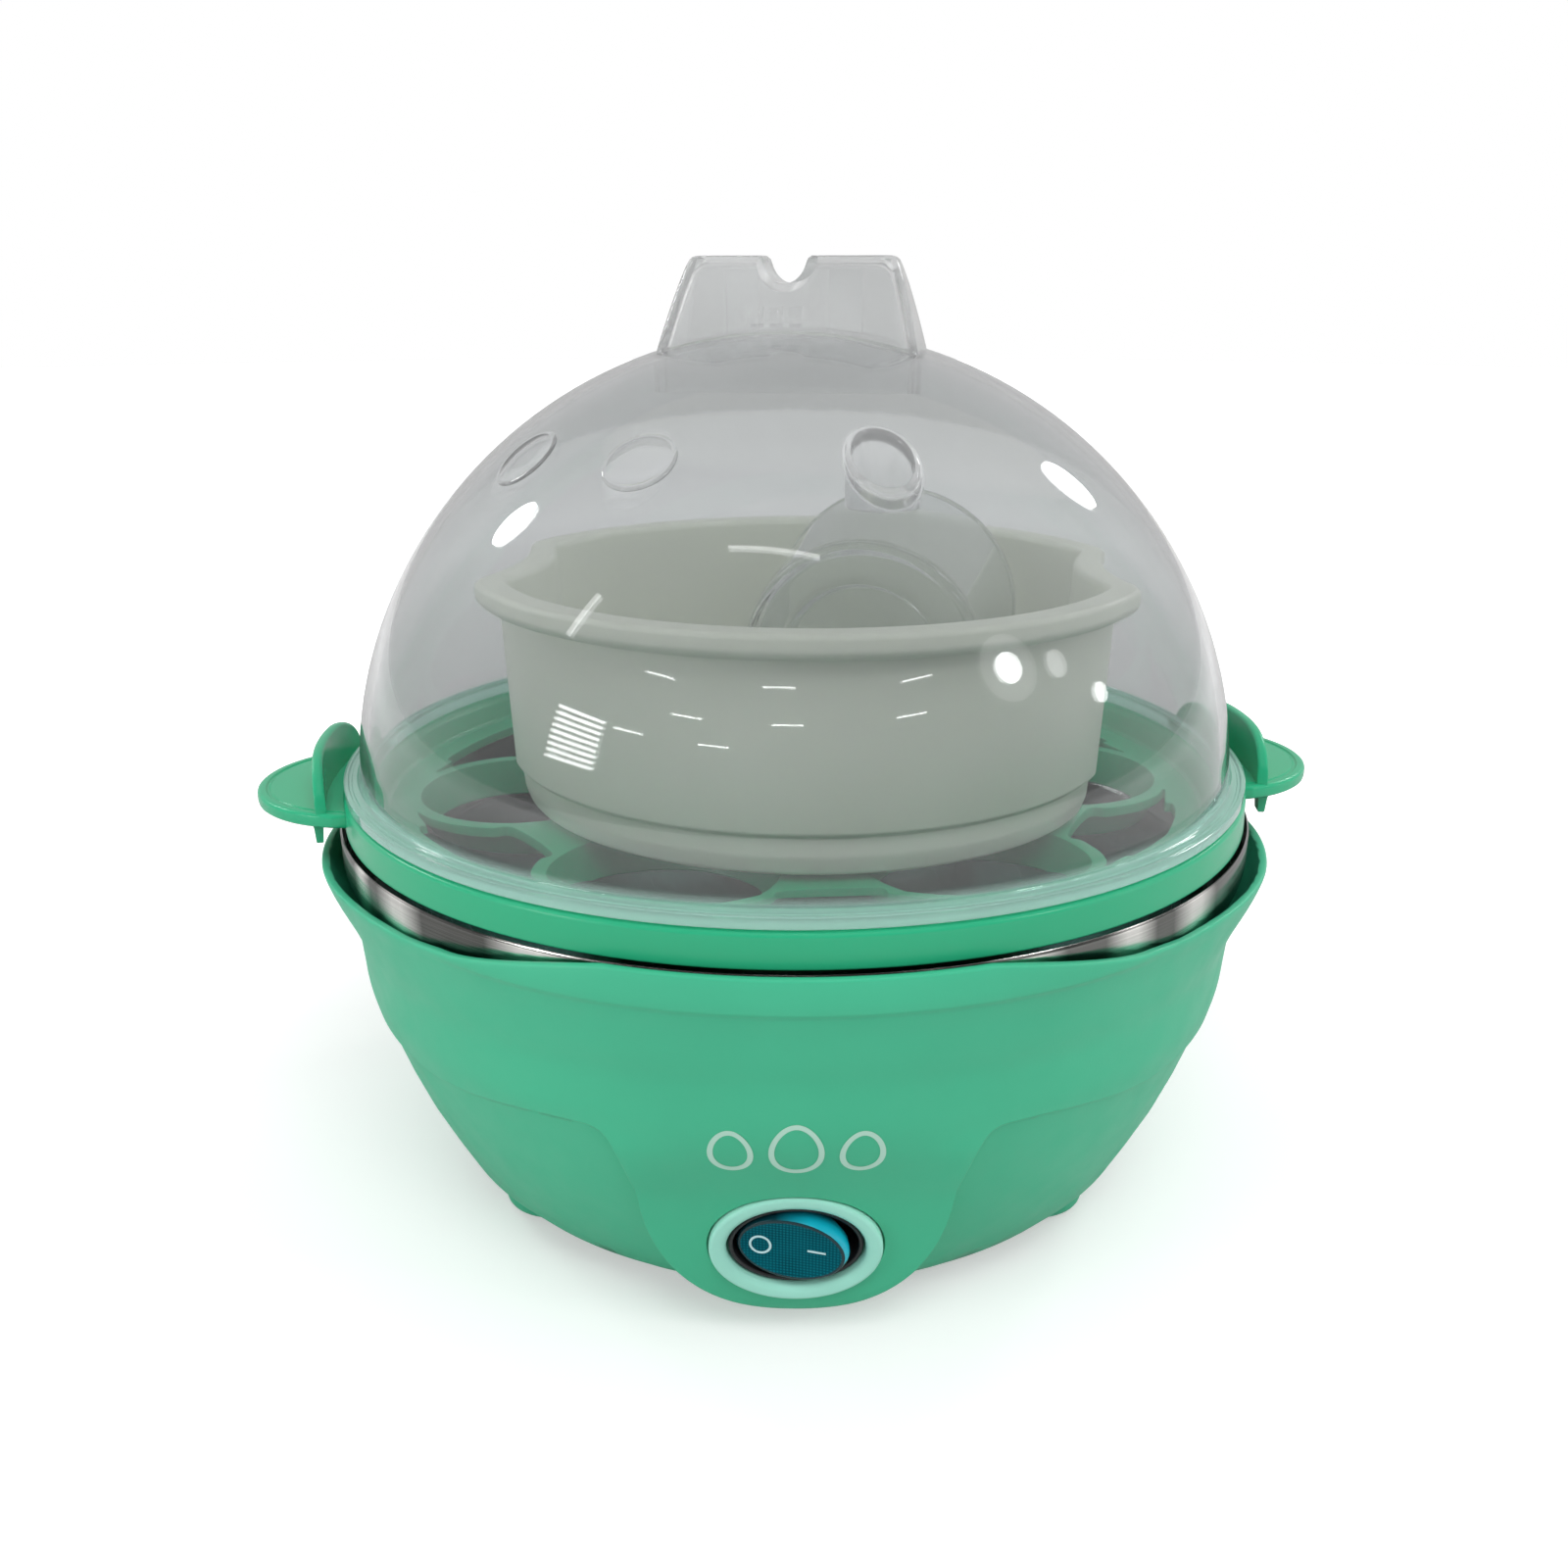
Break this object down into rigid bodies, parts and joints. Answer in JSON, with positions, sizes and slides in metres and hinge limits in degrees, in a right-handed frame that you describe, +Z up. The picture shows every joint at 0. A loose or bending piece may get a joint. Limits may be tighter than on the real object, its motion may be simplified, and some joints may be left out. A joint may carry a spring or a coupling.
{
  "type": "egg cooker",
  "caption": "Round electric egg cooker: mint base with rocker switch, steel heating pan, lift-out egg tray, steaming bowl, measuring cup and clear dome lid with a vent and handle.",
  "frame": {"origin": "centre of the bounding box, at the underside of the rubber feet", "axes": "+Z up; +X along the line of the tray tabs, to the right of someone facing the switch; the switch faces -Y and the cord inlet +Y"},
  "size_m": [0.1964, 0.1712, 0.1654],
  "materials": {
    "mint": "satin mint green",
    "gloss_mint": "glossy mint green",
    "pale_mint": "smooth pale mint",
    "steel": "brushed round the axis",
    "zinc": "zinc-plated",
    "aluminium": "drawn, dull",
    "ceramic": "unglazed, off-white",
    "black": "black",
    "teal": "tinted, glossy",
    "lamp": "clear glass",
    "brass": "plain",
    "brown": "insulation",
    "blue": "insulation",
    "green": "insulation",
    "milky": "milky, slightly translucent",
    "clear": "clear, polished",
    "rubber": "matt"
  },
  "bodies": {
    "base": {"housing": "mint", "base_cover": "mint", "foot_pad_1": "rubber", "foot_pad_2": "rubber", "foot_pad_3": "rubber", "foot_pad_4": "rubber", "base_screw_1": "zinc", "base_screw_2": "zinc", "base_screw_3": "zinc", "base_screw_4": "zinc", "heating_plate": "steel", "heater_element": "aluminium", "heater_clamp": "zinc", "clamp_screw_1": "zinc", "clamp_screw_2": "zinc", "heat_shield": "zinc", "thermostat": "ceramic", "thermal_fuse": "zinc", "switch_bezel": "pale_mint", "switch_body": "black", "switch_terminal_1": "brass", "switch_terminal_2": "brass", "switch_terminal_3": "brass", "indicator_lamp": "lamp", "cord_gland": "black", "cord_clamp": "black", "cord_clamp_screw_1": "zinc", "cord_clamp_screw_2": "zinc", "terminal_block": "ceramic", "earth_tag": "brass", "wire_live": "brown", "wire_neutral": "blue", "wire_earth": "green"},
    "rocker": {"rocker": "teal"},
    "tray": {"egg_tray": "gloss_mint"},
    "bowl": {"steam_bowl": "milky"},
    "cup": {"measuring_cup": "clear", "piercing_pin": "zinc"},
    "lid": {"lid_dome": "clear", "lid_handle": "clear"}
  },
  "joints": [
    {"name": "rocker_tilt", "type": "hinge", "parent": "base", "child": "rocker", "pos_m": [0, -0.07013, 0.01902], "axis": [0, -0.1392, 0.9903], "range_deg": [0, 24]},
    {"name": "tray_lift", "type": "slide", "parent": "base", "child": "tray", "axis": [0, 0, 1], "range_m": [0, 0.12]},
    {"name": "bowl_lift", "type": "slide", "parent": "tray", "child": "bowl", "axis": [0, 0, 1], "range_m": [0, 0.12]},
    {"name": "cup_lift", "type": "slide", "parent": "bowl", "child": "cup", "axis": [0, 0, 1], "range_m": [0, 0.12]},
    {"name": "lid_lift", "type": "slide", "parent": "cup", "child": "lid", "axis": [0, 0, 1], "range_m": [0, 0.15]}
  ]
}
